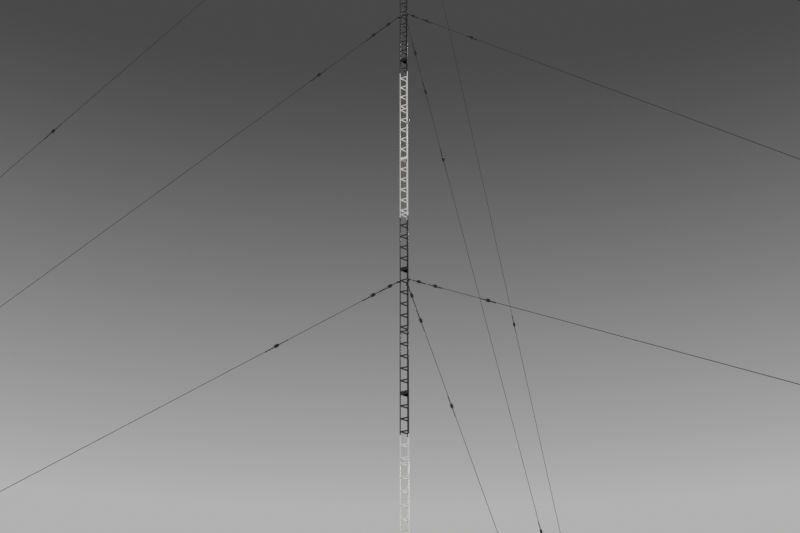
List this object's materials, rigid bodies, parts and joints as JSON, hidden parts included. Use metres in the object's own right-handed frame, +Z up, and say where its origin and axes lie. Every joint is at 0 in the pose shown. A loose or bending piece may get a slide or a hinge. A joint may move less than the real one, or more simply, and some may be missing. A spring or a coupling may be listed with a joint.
{
  "type": "guyed radio mast, 1:2 scale model",
  "caption": "Slender triangular lattice mast with banded paint, held by guys with egg insulators that run out to concrete anchor blocks in three directions.",
  "frame": {"origin": "middle of the concrete pier's underside, at ground level under the mast", "axes": "+Z up along the mast; -X along the left guys; the right and rear guys about 60 degrees either side of +X"},
  "size_m": [31.2487, 36.57, 34.2115],
  "materials": {
    "concrete": "weathered cast concrete, matt",
    "galvanised_steel": "dull hot-dip galvanised steel",
    "porcelain": "brown glazed porcelain",
    "egg_porcelain": "dark brown glazed porcelain",
    "dark_paint": "dark weathered paint, satin",
    "white_paint": "white weathered paint, satin",
    "guy_wire": "dark weathered steel strand",
    "lamp_housing": "dark painted casting",
    "bare_steel": "weathered steel"
  },
  "bodies": {
    "root": {"base_pier": "concrete", "base_plate": "galvanised_steel", "base_insulator": "porcelain", "mast_foot": "dark_paint", "mast_section_1": "dark_paint", "mast_section_2": "dark_paint", "mast_section_3": "white_paint", "mast_section_4": "dark_paint", "mast_section_5": "dark_paint", "mast_section_6": "white_paint", "mast_section_7": "dark_paint", "mast_section_8": "dark_paint", "mast_section_9": "white_paint", "mast_section_10": "white_paint", "mast_section_11": "dark_paint", "guy_brackets_1": "galvanised_steel", "guy_brackets_2": "galvanised_steel", "guy_brackets_3": "galvanised_steel", "guy_brackets_4": "galvanised_steel", "guy_left_1": "guy_wire", "guy_left_2": "guy_wire", "guy_left_3": "guy_wire", "guy_left_4": "guy_wire", "guy_insulators_left": "egg_porcelain", "turnbuckles_left": "galvanised_steel", "anchor_bracket_left": "galvanised_steel", "anchor_block_left": "concrete", "guy_right_1": "guy_wire", "guy_right_2": "guy_wire", "guy_right_3": "guy_wire", "guy_right_4": "guy_wire", "guy_insulators_right": "egg_porcelain", "turnbuckles_right": "galvanised_steel", "anchor_bracket_right": "galvanised_steel", "anchor_block_right": "concrete", "guy_rear_1": "guy_wire", "guy_rear_2": "guy_wire", "guy_rear_3": "guy_wire", "guy_rear_4": "guy_wire", "guy_insulators_rear": "egg_porcelain", "turnbuckles_rear": "galvanised_steel", "anchor_bracket_rear": "galvanised_steel", "anchor_block_rear": "concrete", "obstruction_lights": "lamp_housing", "lightning_rod": "bare_steel"}
  },
  "joints": []
}
